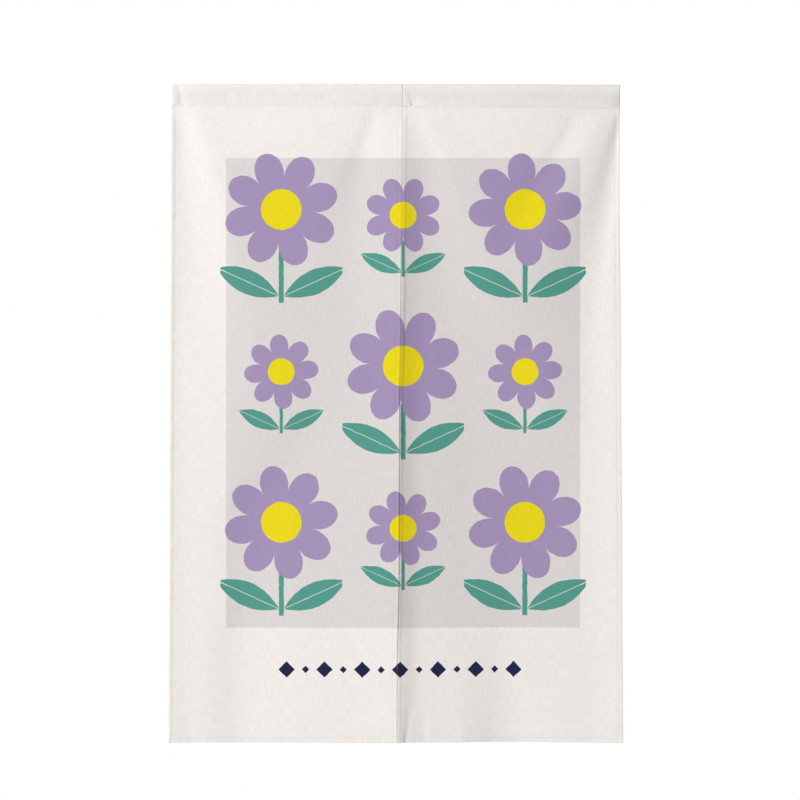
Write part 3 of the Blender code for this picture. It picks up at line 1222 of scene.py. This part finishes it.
def thread_material(name, base, with_print=False):
    """Twisted cotton thread, which takes the print where it was sewn before printing."""
    material, tree, shader = new_material(name, THREAD_ROUGHNESS, THREAD_SHEEN)
    place = tree.node("ShaderNodeTexCoord").outputs["Object"]
    wave = {"Vector": place, "Scale": TWIST_SCALE, "Distortion": 1.0}
    twist = tree.node("ShaderNodeTexWave", wave, bands_direction="DIAGONAL").outputs["Fac"]
    fibres = tree.noise(place, FIBRE_SCALE)
    shade = tree.mix(tree.math("MULTIPLY", fibres, FIBRE_SHARE), base, FIBRE_GREY)
    if with_print:
        parts = tree.split(place)
        printed = tree.use(PRINT, {"Place": tree.join(parts[0], tree.math("MULTIPLY", parts[2], -1.0))})
        shade = tree.mix(printed["Printed"], shade, printed["Colour"])
    tree.feed(shader["Base Color"], shade)
    tree.feed(shader["Normal"], tree.bump(twist, TWIST_STRENGTH, TWIST_DEPTH))
    return material


# The pieces and their materials
PANEL_CLOTH = cloth_material("printed linen", CREAM, with_print=True)
# The pockets' cloth takes the darker cream, which is painted shade
HEADING_CLOTH = cloth_material("doubled linen", HEADING_SHADED_CREAM, with_print=False)
HEM_THREAD = thread_material("hem thread", CREAM)
FACE_THREAD = thread_material("printed hem thread", CREAM, with_print=True)
# The tack thread's darker colour is painted shade
TACK_THREAD = thread_material("tack thread", TACK_SHADED_CREAM)


def finish_piece(piece, material):
    piece.data.materials.clear()
    piece.data.materials.append(material)
    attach(piece, "root")
    return piece


def sew(name, runs, material):
    """One piece of thread work, finished."""
    return finish_piece(thread_object(name, runs, THREAD_RADIUS), material)


def tack_runs(side):
    """The threads of all the bar tacks on one side."""
    runs = []
    for tack_side, *sizes in TACKS:
        if tack_side == side:
            runs += bar_tack(side, *sizes)
    return runs


def dress_side(side):
    """A panel with its rod pocket and all its sewing."""
    heading = finish_piece(make_heading(side), HEADING_CLOTH)
    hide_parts("heading_" + side)
    panel = finish_piece(make_panel(side), PANEL_CLOTH)
    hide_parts("panel_" + side)

    hems = sew(f"hem_stitches_{side}", hem_stitches(side, back=False), FACE_THREAD)
    behind = sew(f"hem_stitches_{side}_back", hem_stitches(side, back=True), HEM_THREAD)
    runs = pocket_stitches(side, back=False) + pocket_stitches(side, back=True)
    seam = sew(f"pocket_stitches_{side}", runs, HEM_THREAD)
    tacks = sew(f"bar_tacks_{side}", tack_runs(side), TACK_THREAD)

    left, right = (float(edge) for edge in panel_edges(side, np.array(DROP / 2.0)))


# The setting, in metres but for the photograph's places, which are in its pixels
PIXEL = 1.8223 * MM
PHOTO_MIDDLE = 395.75
PHOTO_TOP = 83.9
PHOTO_SIZE = 800
CAMERA_AWAY = 6.0
SENSOR = 36.0
CAMERA_REACH = 50.0
FLOOR_DEPTH = -1.95
FLOOR_RADIUS = 2.4
FLOOR_SIDES = 96
FLOOR_CLOUDS = 3.0
FLOOR_ROUGHNESS = 0.8
AMBIENT = 0.262
AMBIENT_TINT = (1.0, 0.965, 0.93, 1.0)
WHITE = (1.0, 1.0, 1.0, 1.0)
LIGHTS = (
    # name, place, target, width and height, power, spread in degrees
    ("key", (-4.3, -4.0, 2.1), (0.0, 0.0, -0.5), (2.3, 2.7), 332.0, 180.0),
    ("front fill", (0.8, -4.6, 0.8), (0.0, 0.0, -0.6), (3.0, 2.4), 28.5, 180.0),
    ("back fill", (1.2, 4.6, 0.6), (0.0, 0.0, -0.1), (1.6, 1.6), 14.0, 40.0),
)


def add_floor():
    """A plain pale floor below the hanging cloth."""
    builder = bmesh.new()
    bmesh.ops.create_circle(builder, cap_ends=True, radius=FLOOR_RADIUS, segments=FLOOR_SIDES)
    mesh = bpy.data.meshes.new("floor")
    builder.to_mesh(mesh)
    builder.free()
    floor = link("floor", mesh)
    for vert in mesh.vertices:
        vert.co.z = FLOOR_DEPTH
    material, tree, shader = new_material("pale floor", FLOOR_ROUGHNESS)
    place = tree.node("ShaderNodeTexCoord").outputs["Object"]
    tree.feed(shader["Base Color"], tree.mix(tree.noise(place, FLOOR_CLOUDS), FLOOR_GREY, FLOOR_WHITE))
    mesh.materials.append(material)


def add_light(name, place, target, size, power, spread):
    lamp = bpy.data.lights.new(name, "AREA")
    lamp.shape = "RECTANGLE"
    lamp.size, lamp.size_y = size
    lamp.energy = power
    lamp.spread = math.radians(spread)
    holder = bpy.data.objects.new(name, lamp)
    holder.location = place
    holder.rotation_euler = (Vector(target) - Vector(place)).to_track_quat("-Z", "Y").to_euler()
    holder.visible_camera = False
    bpy.context.scene.collection.objects.link(holder)


def add_world():
    """White all round: bright to the eye, softer as a light."""
    world = bpy.data.worlds.new("white room")
    world.use_nodes = True
    bpy.context.scene.world = world
    tree = Tree(world.node_tree)
    seen = tree.node("ShaderNodeLightPath").outputs["Is Camera Ray"]
    strength = tree.math("MULTIPLY_ADD", seen, 1.0 - AMBIENT, AMBIENT)
    background = world.node_tree.nodes["Background"]
    tree.feed(background.inputs["Color"], tree.mix(seen, AMBIENT_TINT, WHITE))
    tree.feed(background.inputs["Strength"], strength)


def add_camera():
    camera = bpy.data.cameras.new("camera")
    camera.sensor_width = SENSOR
    camera.lens = SENSOR * CAMERA_AWAY / (PHOTO_SIZE * PIXEL)
    camera.clip_end = CAMERA_REACH
    holder = bpy.data.objects.new("camera", camera)
    across = (PHOTO_SIZE / 2 - PHOTO_MIDDLE) * PIXEL
    down = (PHOTO_SIZE / 2 - PHOTO_TOP) * PIXEL
    holder.location = (across, -CAMERA_AWAY, -down)
    holder.rotation_euler = (math.pi / 2.0, 0.0, 0.0)
    bpy.context.scene.collection.objects.link(holder)
    bpy.context.scene.camera = holder


for side in ("left", "right"):
    dress_side(side)
add_floor()
add_world()
for light in LIGHTS:
    add_light(*light)
add_camera()
bpy.context.scene.view_settings.view_transform = "Standard"
